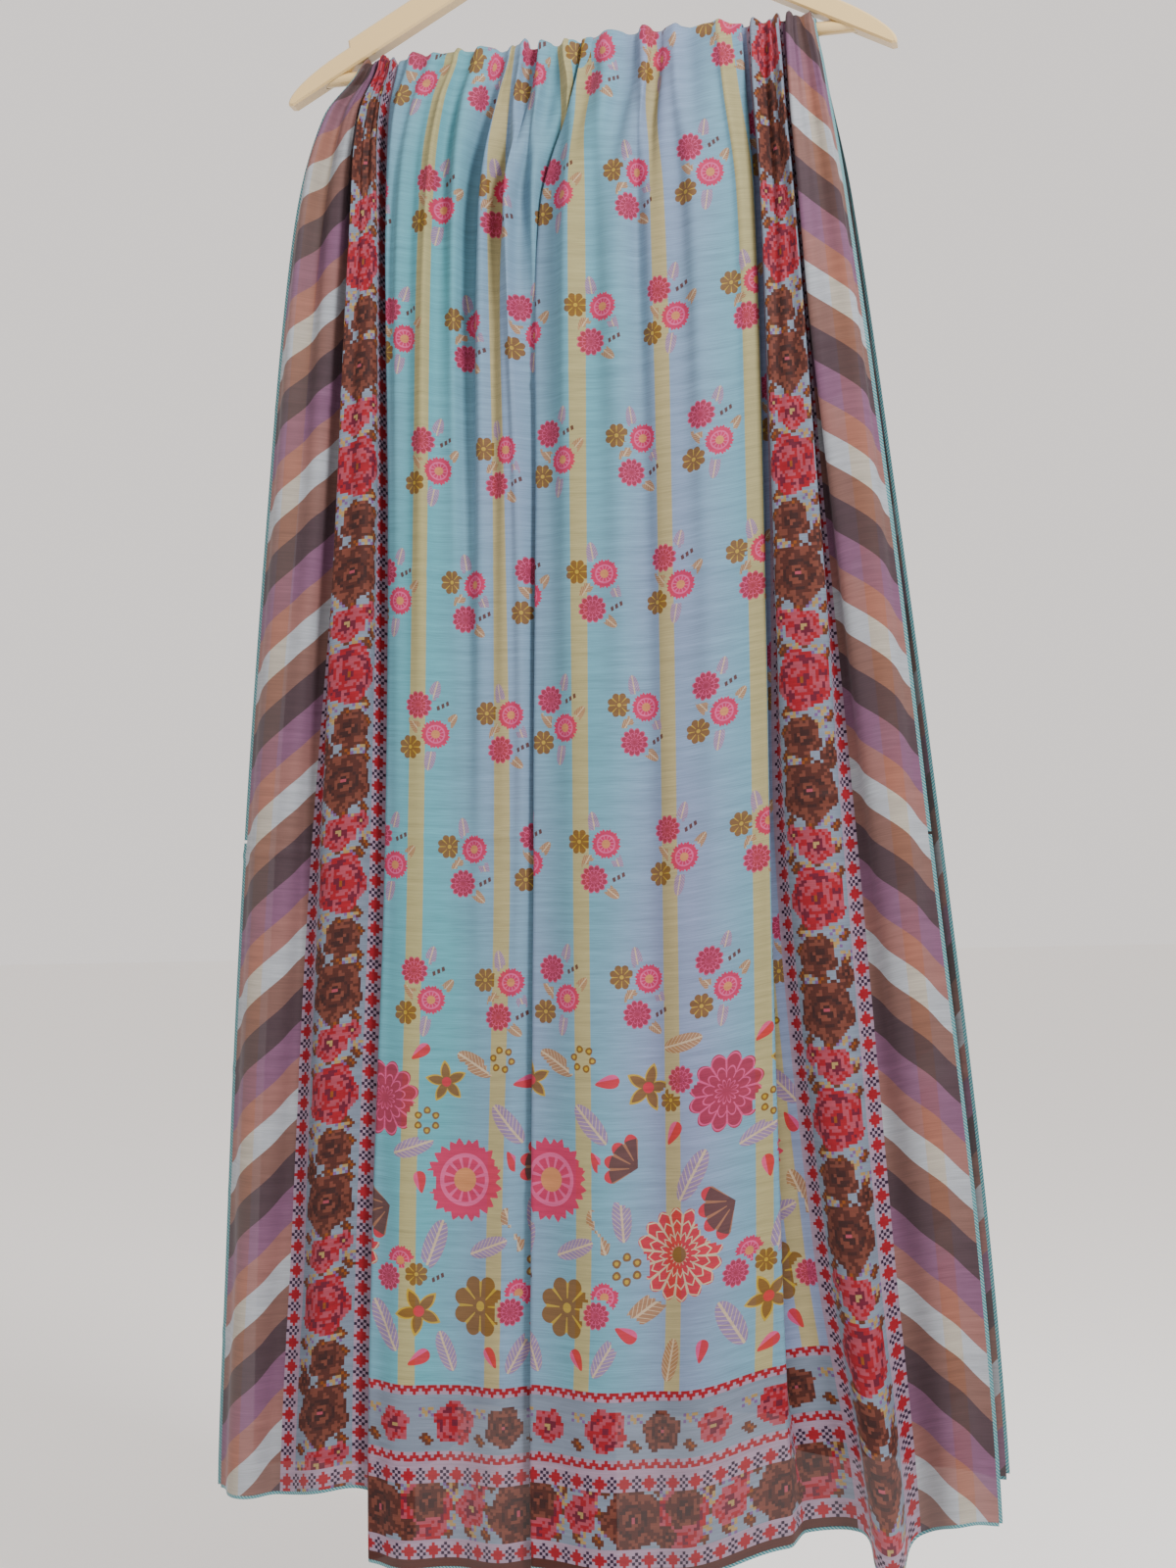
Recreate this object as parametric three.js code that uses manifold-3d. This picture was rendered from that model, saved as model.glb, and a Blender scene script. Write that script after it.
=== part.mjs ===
// Dupatta stole hung double over the trouser bar of a wooden coat hanger.
// Millimetres, +Z up, the front of the cloth faces -Y, +X is to the right as it is looked at.
// The origin is the inside top of the hanger's hook, where a rail carries it.
import * as THREE from 'three';
import { mergeVertices } from 'three/addons/utils/BufferGeometryUtils.js';
import Module from 'manifold-3d';

const wasm = await Module();
wasm.setup();

// ---------------------------------------------------------------- hanger sizes
const FIT_GAP = 0.3;             // clearance between pieces that touch
const HANGER_SPAN = 460;         // tip to tip
const ARM_HEIGHT = 20;           // across the arm, in its plane
const ARM_THICKNESS = 14;
const ARM_SLOPE = 27.8 * Math.PI / 180;
const ARM_BASE_Z = -77;          // where the two lower edges would meet at the middle
const ARM_MIDDLE_REACH = 30;     // half width of the rounded middle
const NOTCH_AT = 198;            // strap notch, measured along the arm
const NOTCH_DEPTH = 5;
const TIP_LENGTH = 52;           // rounded end beyond the notch
const BAR_DIAMETER = 10;
const BAR_Z = -178.5;
const BAR_DEPTH_IN_ARM = 12;
const HOOK_WIRE = 4;
const HOOK_INNER_RADIUS = 18;
const HOOK_DEPTH_IN_WOOD = 18;

// ---------------------------------------------------------------- cloth sizes
const CLOTH_WIDTH = 880;
const CLOTH_LENGTH = 2130;
const BAND = 69;                 // striped band at each side, with its edging
const BORDER = 75;               // rose border beside each band
const WALL = 1.0;
const EDGING_WIDTH = 2.5;
const EDGING_WALL = 1.8;
const BAR_CLEARANCE = 0.8;
const SPINE_RADIUS = BAR_DIAMETER / 2 + BAR_CLEARANCE + WALL / 2;
const QUARTER = SPINE_RADIUS * Math.PI / 2;
const HAIRPIN_RADIUS = 2.5;      // bend at the edge of a pressed fold
const HAIRPIN = HAIRPIN_RADIUS * Math.PI;
const UNDER_LAP = 2;             // how far the left fold starts inside the rose border
const FOLD_CLEAR = 5;            // side cloth stays this far from the edge of the fold above it
const TIGHTEST = 0.6;            // pleats stand no steeper than this share of width allows
const PRESSED_AT_BAR = 0.3;      // how much of their depth the pleats keep on the bar
const PRESS_RUN = 90;            // drop over which the pleats fill out below the bar
const CREASE_DROP = 620;               // drop of the storage crease that parts upper from lower
const OVER_REACH = 34;           // drop of the stretch that lies over the bar

const GROUND_START = BAND + BORDER - UNDER_LAP;
const GROUND_END = CLOTH_WIDTH - BAND - BORDER;
const RIGHT_SEAM = CLOTH_WIDTH - BAND;

// Drop below the bar at which each column of the two hanging tables holds.
const LEVELS = [0, 40, 130, 350, 620, 890, 1115];

// Across the cloth, left to right: where each line hangs (x), how far it stands out
// from the bar (out), how much cloth each fold hides (lap), where the middle fold's
// edge lies on the flat cloth (middleAt), and the turn of the right fold (turn).
const FRONT = {
  edgeLeft: [-172, -202, -227, -252, -276, -293, -303],
  seamLeft: [-157, -170, -178, -196, -223, -242, -255],
  foldLeft: [-140, -147, -149, -152, -161, -176, -183],
  foldMiddle: [2, -3, -31, -39, -47, -55, -60],
  foldRight: [117, 119, 124, 125, 122, 121, 121],
  groundRight: [117, 119, 124, 125, 122, 141, 168],
  seamRight: [149, 151, 157, 169, 187, 203, 216],
  edgeRight: [173, 179, 192, 216, 240, 263, 272],
  lapLeft: [32, 34, 38, 42, 44, 42, 40],
  lapMiddle: [57, 59, 61, 66, 68, 64, 66],
  lapRight: [34, 35, 38, 38, 38, 36, 32],
  middleAt: [524, 516, 490, 487, 484, 480, 486],
  turnRight: [180, 180, 180, 180, 180, 120, 80],
};
const BACK = {
  edgeLeft: [-172, -194, -214, -236, -260, -277, -284],
  seamLeft: [-157, -164, -170, -184, -203, -216, -222],
  foldLeft: [-140, -142, -143, -144, -146, -150, -154],
  foldMiddle: [2, 2, 4, 10, 12, 14, 14],
  foldRight: [117, 120, 128, 136, 142, 150, 154],
  groundRight: [117, 120, 128, 136, 142, 150, 154],
  seamRight: [149, 152, 160, 176, 196, 212, 222],
  edgeRight: [173, 178, 194, 219, 246, 269, 278],
  lapLeft: [32, 33, 36, 38, 38, 38, 38],
  lapMiddle: [57, 60, 65, 63, 63, 58, 55],
  lapRight: [34, 35, 38, 40, 40, 40, 40],
  middleAt: [524, 521, 514, 511, 512, 508, 504],
  turnRight: [180, 180, 180, 180, 180, 180, 180],
};
// How far each line stands out from the bar, the same at every level.
const OUT = {
  edgeLeft: 6, seamLeft: 5, foldLeft: 1, leftTop: 11, middleUnder: 4,
  middleTop: 14, foldRight: 12, groundRight: 2, seamRight: 6, edgeRight: 5,
};
// Pleats of each stretch: many tight ones by the bar, fewer broad ones lower down.
const PLEATS = {
  leftBand: { tight: 2, broad: 1, lean: 0.2, uneven: 0.2 },
  leftBorder: { tight: 2, broad: 1, lean: -0.2, uneven: 0.1 },
  leftGround: { tight: 6, broad: 2, lean: 0.25, uneven: 0.35 },
  rightGround: { tight: 4, broad: 2, lean: -0.3, uneven: 0.4 },
  rightBorder: { tight: 2, broad: 1, lean: 0.1, uneven: 0.2 },
  rightBand: { tight: 2, broad: 1, lean: -0.1, uneven: 0.2 },
};
const TIGHT_SHARE = [1, 0.93, 0.75, 0.35, 0.1, 0, 0];

// Length of the front fall at places across the flat cloth; the back has the rest.
const FALL = [
  { flat: 0, front: 1070 }, { flat: 69, front: 1074 }, { flat: 142, front: 1070 },
  { flat: 214, front: 1118 }, { flat: 470, front: 1118 }, { flat: 590, front: 1120 },
  { flat: 668, front: 1098 }, { flat: 736, front: 1086 }, { flat: 776, front: 1112 },
  { flat: 811, front: 1086 }, { flat: 850, front: 1074 }, { flat: 880, front: 1078 },
];

// ---------------------------------------------------------------- cloth form
const smooth = (v) => {
  const t = Math.min(1, Math.max(0, v));
  return t * t * (3 - 2 * t);
};

// Smooth curve through equally named knots (Catmull-Rom with uneven steps).
function through(knots, values, at) {
  const last = knots.length - 1;
  if (at <= knots[0]) return values[0];
  if (at >= knots[last]) return values[last];
  let i = 0;
  while (at > knots[i + 1]) i += 1;
  const slope = (k) => {
    if (k === 0 || k === last) return 0;
    return (values[k + 1] - values[k - 1]) / (knots[k + 1] - knots[k - 1]);
  };
  const step = knots[i + 1] - knots[i];
  const t = (at - knots[i]) / step;
  const ease = t * t * (3 - 2 * t);
  const bendIn = t * (1 - t) * (1 - t) * step * slope(i);
  const bendOut = t * t * (t - 1) * step * slope(i + 1);
  return values[i] + (values[i + 1] - values[i]) * ease + bendIn + bendOut;
}

const frontFall = (flat) => through(FALL.map((k) => k.flat), FALL.map((k) => k.front), flat);
const backFall = (flat) => CLOTH_LENGTH - frontFall(flat);

// Turn of a meander whose waves take up 1 - ratio of the cloth's width.
const meanderTurn = (ratio) => Math.sqrt(8 * (1 - Math.sqrt(Math.min(1, ratio))));

// The stretches of one level, in order across the cloth.
function stretchesAt(table, drop) {
  const at = (name) => through(LEVELS, table[name], drop);
  const share = through(LEVELS, TIGHT_SHARE, drop);
  const leftTop = GROUND_START + 2 * at('lapLeft');
  const middleUnder = at('middleAt') - 2 * at('lapMiddle');
  const rightTop = GROUND_END - 2 * at('lapRight');
  const stations = [
    [0, at('edgeLeft'), OUT.edgeLeft], [BAND, at('seamLeft'), OUT.seamLeft],
    [GROUND_START, at('foldLeft') - FOLD_CLEAR, OUT.foldLeft], [leftTop, at('foldLeft'), OUT.leftTop],
    [middleUnder, at('foldMiddle'), OUT.middleUnder], [at('middleAt'), at('foldMiddle'), OUT.middleTop],
    [rightTop, at('foldRight'), OUT.foldRight], [GROUND_END, at('groundRight') + FOLD_CLEAR, OUT.groundRight],
    [RIGHT_SEAM, at('seamRight'), OUT.seamRight], [CLOTH_WIDTH, at('edgeRight'), OUT.edgeRight],
  ];
  const kinds = [
    PLEATS.leftBand, PLEATS.leftBorder, 'over', PLEATS.leftGround, 'over',
    PLEATS.rightGround, 'under', PLEATS.rightBorder, PLEATS.rightBand,
  ];
  return kinds.map((kind, i) => {
    const [from, xFrom, outFrom] = stations[i];
    const [to, xTo, outTo] = stations[i + 1];
    const ratio = Math.max(TIGHTEST, (xTo - xFrom) / (to - from));
    return {
      kind, from, to, xFrom, xTo, outFrom, outTo,
      tightTurn: meanderTurn(ratio ** share),
      broadTurn: meanderTurn(ratio ** (1 - share)),
      turn: at('turnRight') * Math.PI / 180,
    };
  });
}

// Direction of the cloth across one stretch, as an angle out from the bar.
function direction(stretch, flat) {
  const length = stretch.to - stretch.from;
  const run = flat - stretch.from;
  const ramp = (start) => Math.min(1, Math.max(0, (run - start) / HAIRPIN));
  if (stretch.kind === 'over') {
    return Math.PI * (ramp(length / 2 - HAIRPIN / 2) - ramp(length - HAIRPIN));
  }
  if (stretch.kind === 'under') {
    return -stretch.turn * (ramp(0) - ramp(length / 2 - HAIRPIN / 2));
  }
  const t = run / length;
  const { tight, broad, lean, uneven } = stretch.kind;
  const warped = t + lean * Math.sin(2 * Math.PI * t) / (2 * Math.PI);
  const swell = 1 + uneven * Math.cos(2 * Math.PI * t + lean * 9);
  return stretch.tightTurn * swell * Math.sin(2 * Math.PI * tight * warped)
    + stretch.broadTurn * Math.sin(2 * Math.PI * broad * warped);
}

// One level of the cloth: x and out along the flat width, in steps of STEP.
const STEP = 0.5;
const sections = new Map();
function sectionAt(table, drop) {
  const key = `${table === FRONT}${drop.toFixed(2)}`;
  if (sections.has(key)) return sections.get(key);
  const count = Math.round(CLOTH_WIDTH / STEP);
  const x = new Float64Array(count + 1);
  const out = new Float64Array(count + 1);
  for (const stretch of stretchesAt(table, drop)) {
    const first = Math.ceil(stretch.from / STEP - 1e-9);
    const last = Math.min(count, Math.floor(stretch.to / STEP + 1e-9));
    const cells = Math.round((stretch.to - stretch.from) / STEP);
    const fine = (stretch.to - stretch.from) / cells;
    const runX = [0];
    const runOut = [0];
    for (let i = 0; i < cells; i += 1) {
      const angle = direction(stretch, stretch.from + (i + 0.5) * fine);
      runX.push(runX[i] + Math.cos(angle) * fine);
      runOut.push(runOut[i] + Math.sin(angle) * fine);
    }
    const pleated = typeof stretch.kind === 'object';
    const reach = stretch.xTo - stretch.xFrom;
    const scaleX = pleated ? reach / runX[cells] : 1;
    const missX = reach - runX[cells] * scaleX;
    const missOut = stretch.outTo - stretch.outFrom - runOut[cells];
    for (let i = first; i <= last; i += 1) {
      const place = (i * STEP - stretch.from) / fine;
      const low = Math.min(cells - 1, Math.max(0, Math.floor(place)));
      const part = place - low;
      const t = place / cells;
      const alongX = runX[low] * (1 - part) + runX[low + 1] * part;
      x[i] = stretch.xFrom + alongX * scaleX + missX * t;
      out[i] = stretch.outFrom + runOut[low] * (1 - part) + runOut[low + 1] * part + missOut * t;
    }
  }
  const section = { x, out };
  sections.set(key, section);
  return section;
}

// Middle of the cloth's wall. drop > 0 is in front of the bar's crest, drop < 0 behind it.
function clothPoint(flat, drop) {
  const table = drop >= 0 ? FRONT : BACK;
  const fall = Math.abs(drop);
  const section = sectionAt(table, fall);
  const place = Math.min(CLOTH_WIDTH / STEP - 1e-6, Math.max(0, flat / STEP));
  const low = Math.floor(place);
  const part = place - low;
  const x = section.x[low] * (1 - part) + section.x[low + 1] * part;
  const fullOut = section.out[low] * (1 - part) + section.out[low + 1] * part;
  const press = PRESSED_AT_BAR + (1 - PRESSED_AT_BAR) * smooth(fall / PRESS_RUN);
  const out = fullOut * press;
  const side = drop >= 0 ? -1 : 1;
  if (fall < QUARTER) {
    const angle = fall / SPINE_RADIUS;
    const reach = SPINE_RADIUS + out;
    return new THREE.Vector3(x, side * reach * Math.sin(angle), BAR_Z + reach * Math.cos(angle));
  }
  return new THREE.Vector3(x, side * (SPINE_RADIUS + out), BAR_Z - (fall - QUARTER));
}

function clothNormal(flat, drop) {
  const across = 0.4;
  const along = 1.0;
  const left = clothPoint(Math.max(0, flat - across), drop);
  const right = clothPoint(Math.min(CLOTH_WIDTH, flat + across), drop);
  const upper = clothPoint(flat, drop - along);
  const lower = clothPoint(flat, drop + along);
  return right.sub(left).cross(upper.sub(lower)).normalize();
}

// ---------------------------------------------------------------- meshes
function closedGrid(outer, inner) {
  const rows = outer.length;
  const cols = outer[0].length;
  const positions = [];
  for (const layer of [outer, inner]) {
    for (const row of layer) for (const p of row) positions.push(p.x, p.y, p.z);
  }
  const index = [];
  const id = (layer, r, c) => layer * rows * cols + r * cols + c;
  const quad = (a, b, c, d) => index.push(a, b, c, a, c, d);
  for (let r = 0; r < rows - 1; r += 1) {
    for (let c = 0; c < cols - 1; c += 1) {
      quad(id(0, r, c), id(0, r + 1, c), id(0, r + 1, c + 1), id(0, r, c + 1));
      quad(id(1, r, c), id(1, r, c + 1), id(1, r + 1, c + 1), id(1, r + 1, c));
    }
  }
  for (let r = 0; r < rows - 1; r += 1) {
    quad(id(0, r, 0), id(1, r, 0), id(1, r + 1, 0), id(0, r + 1, 0));
    quad(id(0, r, cols - 1), id(0, r + 1, cols - 1), id(1, r + 1, cols - 1), id(1, r, cols - 1));
  }
  for (let c = 0; c < cols - 1; c += 1) {
    quad(id(0, 0, c), id(0, 0, c + 1), id(1, 0, c + 1), id(1, 0, c));
    quad(id(0, rows - 1, c), id(1, rows - 1, c), id(1, rows - 1, c + 1), id(0, rows - 1, c + 1));
  }
  const geometry = new THREE.BufferGeometry();
  geometry.setAttribute('position', new THREE.Float32BufferAttribute(positions, 3));
  geometry.setIndex(index);
  geometry.computeVertexNormals();
  return geometry;
}

// Wall of cloth over columns (flat places by drop) and rows (drops by flat place).
function wallGeometry(columns, rows, wall) {
  const outer = [];
  const inner = [];
  for (const row of rows) {
    const outerRow = [];
    const innerRow = [];
    for (const column of columns) {
      const flat = column(Math.abs(row(CLOTH_WIDTH / 2)), row(CLOTH_WIDTH / 2) >= 0);
      const drop = row(flat);
      const middle = clothPoint(flat, drop);
      const offset = clothNormal(flat, drop).multiplyScalar(wall / 2);
      outerRow.push(middle.clone().add(offset));
      innerRow.push(middle.clone().sub(offset));
    }
    outer.push(outerRow);
    inner.push(innerRow);
  }
  return closedGrid(outer, inner);
}

// Columns of each stretch that shows, cut where the next one lies over it.
const SAMPLES = { over: 5, pleat: 3 };
function stretchColumns(index) {
  const shares = [];
  const kind = stretchesAt(FRONT, 0)[index].kind;
  if (kind === 'over' || kind === 'under') return foldColumns(index, kind);
  const count = Math.max(kind.tight * SAMPLES.pleat, 6);
  for (let i = 0; i <= count; i += 1) shares.push(i / count);
  return shares.map((share) => columnAt(index, () => share));
}
function columnAt(index, shareOf) {
  return (drop, front) => {
    const stretch = stretchesAt(front ? FRONT : BACK, drop)[index];
    return stretch.from + (stretch.to - stretch.from) * shareOf(stretch.to - stretch.from);
  };
}
function foldColumns(index, kind) {
  const arc = [0, 0.25, 0.5, 0.75, 1];
  const topBend = (length) => 0.5 - HAIRPIN / 2 / length;
  const places = [];
  if (kind === 'over') {
    places.push(() => 0);
    for (const a of arc) places.push((length) => topBend(length) + a * HAIRPIN / length);
    for (const a of arc) places.push((length) => 1 - (1 - a) * HAIRPIN / length);
  } else {
    for (const a of arc) places.push((length) => a * HAIRPIN / length);
    for (const a of arc) places.push((length) => topBend(length) + a * HAIRPIN / length);
    places.push(() => 1);
  }
  return places.map((place) => columnAt(index, place));
}
const shifted = (column, by) => (drop, front) => column(drop, front) + by;
const CUT_SHARE = 0.2;           // hidden cut in the part of a fold that lies under
const cutLeft = columnAt(2, () => CUT_SHARE);
const cutMiddle = columnAt(4, () => CUT_SHARE);
const cutRight = columnAt(6, () => 1 - CUT_SHARE);
const noFirst = (list) => list.slice(1);
const noLast = (list) => list.slice(0, -1);
const half = FIT_GAP / 2;
const edgeStart = () => EDGING_WIDTH + FIT_GAP;
const edgeEnd = () => CLOTH_WIDTH - EDGING_WIDTH - FIT_GAP;
const STRETCHES = [
  { name: 'left_side', columns: [edgeStart, ...noFirst(stretchColumns(0)),
    ...noLast(noFirst(stretchColumns(1))), columnAt(2, () => 0), shifted(cutLeft, -half)] },
  { name: 'left_ground', columns: [shifted(cutLeft, half), ...noFirst(stretchColumns(2)),
    ...noFirst(stretchColumns(3)), shifted(cutMiddle, -half)] },
  { name: 'right_ground', columns: [shifted(cutMiddle, half), ...noFirst(stretchColumns(4)),
    ...noLast(noFirst(stretchColumns(5))), ...noLast(stretchColumns(6)), shifted(cutRight, -half)] },
  { name: 'right_side', columns: [shifted(cutRight, half), ...stretchColumns(7),
    ...noLast(noFirst(stretchColumns(8))), edgeEnd] },
];

// Rows of each fall: signed drops, positive in front.
const level = (drop) => () => drop;
const toHem = (share, start, fallOf, side) => (flat) => {
  const end = fallOf(flat) - EDGING_WIDTH - FIT_GAP;
  return side * (start + (end - start) * share);
};
const TURN_SHARES = [-1, -0.5, 0, 0.5, 1];
const OVER_DROPS = [-OVER_REACH, ...TURN_SHARES.map((share) => share * QUARTER), OVER_REACH];
const UPPER_DROPS = [OVER_REACH + FIT_GAP, 70, 120, 200, 330, 480, CREASE_DROP - FIT_GAP];
const LOWER_SHARES = [0, 0.3, 0.6, 0.85, 1];
const FALLS = [
  { name: 'over_bar', rows: OVER_DROPS.map((drop) => level(drop)) },
  { name: 'front_upper', rows: UPPER_DROPS.map((drop) => level(drop)) },
  { name: 'front_lower', rows: LOWER_SHARES.map((share) => toHem(share, CREASE_DROP, frontFall, 1)) },
  { name: 'back_upper', rows: UPPER_DROPS.map((drop) => level(-drop)).reverse() },
  { name: 'back_lower', rows: LOWER_SHARES.map((share) => toHem(share, CREASE_DROP, backFall, -1)).reverse() },
];

const material = (color, roughness, metalness) => new THREE.MeshStandardMaterial({ color, roughness, metalness });
const MATERIALS = {
  cloth: material('#a9cdd0', 0.75, 0),
  sideCloth: material('#9b6f6a', 0.75, 0),
  edging: material('#3f9aa3', 0.8, 0),
  wood: material('#c9a25e', 0.35, 0),
  wire: material('#c7c9cc', 0.25, 1),
};

function named(name, geometry, look) {
  const mesh = new THREE.Mesh(geometry, look);
  mesh.name = name;
  return mesh;
}

function clothGroup() {
  const group = new THREE.Group();
  for (const fall of FALLS) {
    for (const stretch of STRETCHES) {
      const look = stretch.name.endsWith('side') ? MATERIALS.sideCloth : MATERIALS.cloth;
      const geometry = wallGeometry(stretch.columns, fall.rows, WALL);
      group.add(named(`${fall.name}_${stretch.name}`, geometry, look));
    }
  }
  return group;
}

function edgingGroup() {
  const group = new THREE.Group();
  const sides = [
    { name: 'left', columns: [() => 0, () => EDGING_WIDTH] },
    { name: 'right', columns: [() => CLOTH_WIDTH - EDGING_WIDTH, () => CLOTH_WIDTH] },
  ];
  for (const fall of FALLS) {
    for (const side of sides) {
      const geometry = wallGeometry(side.columns, fall.rows, EDGING_WALL);
      group.add(named(`${fall.name}_edging_${side.name}`, geometry, MATERIALS.edging));
    }
  }
  const hems = [
    { name: 'front_hem', fallOf: frontFall, side: 1 },
    { name: 'back_hem', fallOf: backFall, side: -1 },
  ];
  for (const hem of hems) {
    const rows = [EDGING_WIDTH, 0].map((up) => (flat) => hem.side * (hem.fallOf(flat) - up));
    if (hem.side < 0) rows.reverse();
    for (const stretch of STRETCHES) {
      const geometry = wallGeometry(stretch.columns, rows, EDGING_WALL);
      group.add(named(`${hem.name}_${stretch.name}`, geometry, MATERIALS.edging));
    }
  }
  return group;
}

// ---------------------------------------------------------------- hanger
function toSolid(geometry) {
  const bare = geometry.clone();
  bare.deleteAttribute('normal');
  bare.deleteAttribute('uv');
  const merged = mergeVertices(bare, 1e-4);
  return new wasm.Manifold(new wasm.Mesh({
    numProp: 3,
    vertProperties: new Float32Array(merged.attributes.position.array),
    triVerts: new Uint32Array(merged.index.array),
  }));
}
function toGeometry(solid) {
  const mesh = solid.getMesh();
  const geometry = new THREE.BufferGeometry();
  geometry.setAttribute('position', new THREE.Float32BufferAttribute(mesh.vertProperties, 3));
  geometry.setIndex(Array.from(mesh.triVerts));
  const flat = geometry.toNonIndexed();
  flat.computeVertexNormals();
  return flat;
}
const ROUND_SIDES = 28;
function rod(diameter, length) {
  return new THREE.CylinderGeometry(diameter / 2, diameter / 2, length, ROUND_SIDES);
}

// Outline of the left arm in the hanger's plane (x, z), from the middle joint to the tip.
function armShape() {
  const cos = Math.cos(ARM_SLOPE);
  const sin = Math.sin(ARM_SLOPE);
  const drop = Math.tan(ARM_SLOPE);
  const topZ = ARM_BASE_Z + ARM_HEIGHT / cos;
  const armLength = HANGER_SPAN / 2 / cos;
  const on = (along, up) => [-along * cos - up * sin, ARM_BASE_Z - along * sin + up * cos];
  const reach = ARM_MIDDLE_REACH;
  const shape = new THREE.Shape();
  const lowMiddle = ARM_BASE_Z - reach / 2 * drop;
  const highMiddle = topZ - reach / 2 * drop;
  shape.moveTo(-half, highMiddle);
  shape.quadraticCurveTo(-reach / 2, highMiddle, -reach, topZ - reach * drop);
  shape.lineTo(...on(NOTCH_AT - 2, ARM_HEIGHT));
  shape.lineTo(...on(NOTCH_AT, ARM_HEIGHT - NOTCH_DEPTH));
  const tipSteps = 9;
  const tipHeight = ARM_HEIGHT - NOTCH_DEPTH - 2;
  for (let i = 0; i <= tipSteps; i += 1) {
    const angle = Math.PI / 2 * (1 - i / tipSteps);
    const along = armLength - TIP_LENGTH + TIP_LENGTH * Math.cos(angle);
    shape.lineTo(...on(along, 2 + tipHeight * Math.sin(angle)));
  }
  shape.lineTo(...on(armLength - 3, 0));
  shape.lineTo(-reach, ARM_BASE_Z - reach * drop);
  shape.quadraticCurveTo(-reach / 2, lowMiddle, -half, lowMiddle);
  shape.closePath();
  return shape;
}

function armSolid() {
  const bevel = 1.5;
  const geometry = new THREE.ExtrudeGeometry(armShape(), {
    depth: ARM_THICKNESS - 2 * bevel,
    bevelEnabled: true,
    bevelThickness: bevel,
    bevelSize: bevel,
    bevelOffset: -bevel,
    bevelSegments: 1,
    curveSegments: 8,
  });
  geometry.rotateX(Math.PI / 2);
  geometry.translate(0, ARM_THICKNESS / 2 - bevel, 0);
  const barHole = rod(BAR_DIAMETER + 2 * FIT_GAP, 60).rotateZ(Math.PI / 2);
  barHole.translate(-(armBarEnd() + BAR_DEPTH_IN_ARM) + 30, 0, BAR_Z);
  const hookHole = rod(HOOK_WIRE + 2 * FIT_GAP, 40).rotateX(Math.PI / 2);
  hookHole.translate(0, 0, hookFootZ() - FIT_GAP + 20);
  return toSolid(geometry).subtract(toSolid(barHole)).subtract(toSolid(hookHole));
}
const armBarEnd = () => (ARM_BASE_Z - BAR_Z) / Math.tan(ARM_SLOPE);
const armTopMiddle = () => ARM_BASE_Z + ARM_HEIGHT / Math.cos(ARM_SLOPE)
  - ARM_MIDDLE_REACH / 2 * Math.tan(ARM_SLOPE);
const hookFootZ = () => armTopMiddle() - HOOK_DEPTH_IN_WOOD;

// The hook: a straight shank, a bend to the side and three quarters of a ring.
class HookPath extends THREE.Curve {
  constructor() {
    super();
    this.ring = HOOK_INNER_RADIUS + HOOK_WIRE / 2;
    this.centreZ = -HOOK_INNER_RADIUS;
    this.bendEndZ = this.centreZ - this.ring;
    this.points = [];
    const shankTop = this.bendEndZ - 6;
    for (const z of [hookFootZ(), armTopMiddle(), armTopMiddle() + 6, shankTop]) {
      this.points.push(new THREE.Vector3(0, 0, z));
    }
    const from = -78;
    const to = 190;
    const steps = 26;
    for (let i = 0; i <= steps; i += 1) {
      const angle = (from + (to - from) * i / steps) * Math.PI / 180;
      const x = this.ring * Math.cos(angle);
      this.points.push(new THREE.Vector3(x, 0, this.centreZ + this.ring * Math.sin(angle)));
    }
    this.curve = new THREE.CatmullRomCurve3(this.points, false, 'centripetal');
  }

  getPoint(t, target = new THREE.Vector3()) {
    return this.curve.getPointAt(t, target);
  }
}

function hookGeometry() {
  const section = new THREE.Shape();
  section.absarc(0, 0, HOOK_WIRE / 2, 0, 2 * Math.PI);
  return new THREE.ExtrudeGeometry(section, {
    steps: 40, curveSegments: 3, extrudePath: new HookPath(), bevelEnabled: false,
  });
}

function hangerGroup() {
  const group = new THREE.Group();
  const leftArm = armSolid();
  group.add(named('hanger_arm_left', toGeometry(leftArm), MATERIALS.wood));
  group.add(named('hanger_arm_right', toGeometry(leftArm.mirror([1, 0, 0])), MATERIALS.wood));
  const barLength = 2 * (armBarEnd() + BAR_DEPTH_IN_ARM - FIT_GAP);
  const bar = named('hanger_bar', rod(BAR_DIAMETER, barLength), MATERIALS.wood);
  bar.rotation.z = Math.PI / 2;
  bar.position.z = BAR_Z;
  group.add(bar);
  group.add(named('hanger_hook', hookGeometry(), MATERIALS.wire));
  return group;
}

const dupattaOnHanger = new THREE.Group();
dupattaOnHanger.add(hangerGroup(), clothGroup(), edgingGroup());
export default dupattaOnHanger;
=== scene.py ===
"""A dupatta stole hung double over the bar of a wooden coat hanger, dressed for a studio picture."""
import math
import bpy
import numpy as np
from mathutils import Matrix, Vector


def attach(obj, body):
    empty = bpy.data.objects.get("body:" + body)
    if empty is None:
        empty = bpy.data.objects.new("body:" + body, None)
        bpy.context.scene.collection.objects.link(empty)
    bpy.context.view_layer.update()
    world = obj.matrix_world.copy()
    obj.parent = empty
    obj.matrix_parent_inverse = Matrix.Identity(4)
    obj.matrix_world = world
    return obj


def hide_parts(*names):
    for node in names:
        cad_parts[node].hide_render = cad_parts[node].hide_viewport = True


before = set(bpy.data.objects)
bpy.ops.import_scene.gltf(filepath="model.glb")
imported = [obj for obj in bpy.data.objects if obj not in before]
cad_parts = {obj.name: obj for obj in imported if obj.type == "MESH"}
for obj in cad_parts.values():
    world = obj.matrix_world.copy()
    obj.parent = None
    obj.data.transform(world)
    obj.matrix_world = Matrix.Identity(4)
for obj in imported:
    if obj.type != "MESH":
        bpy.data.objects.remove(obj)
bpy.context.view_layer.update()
MM = 0.001

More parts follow.
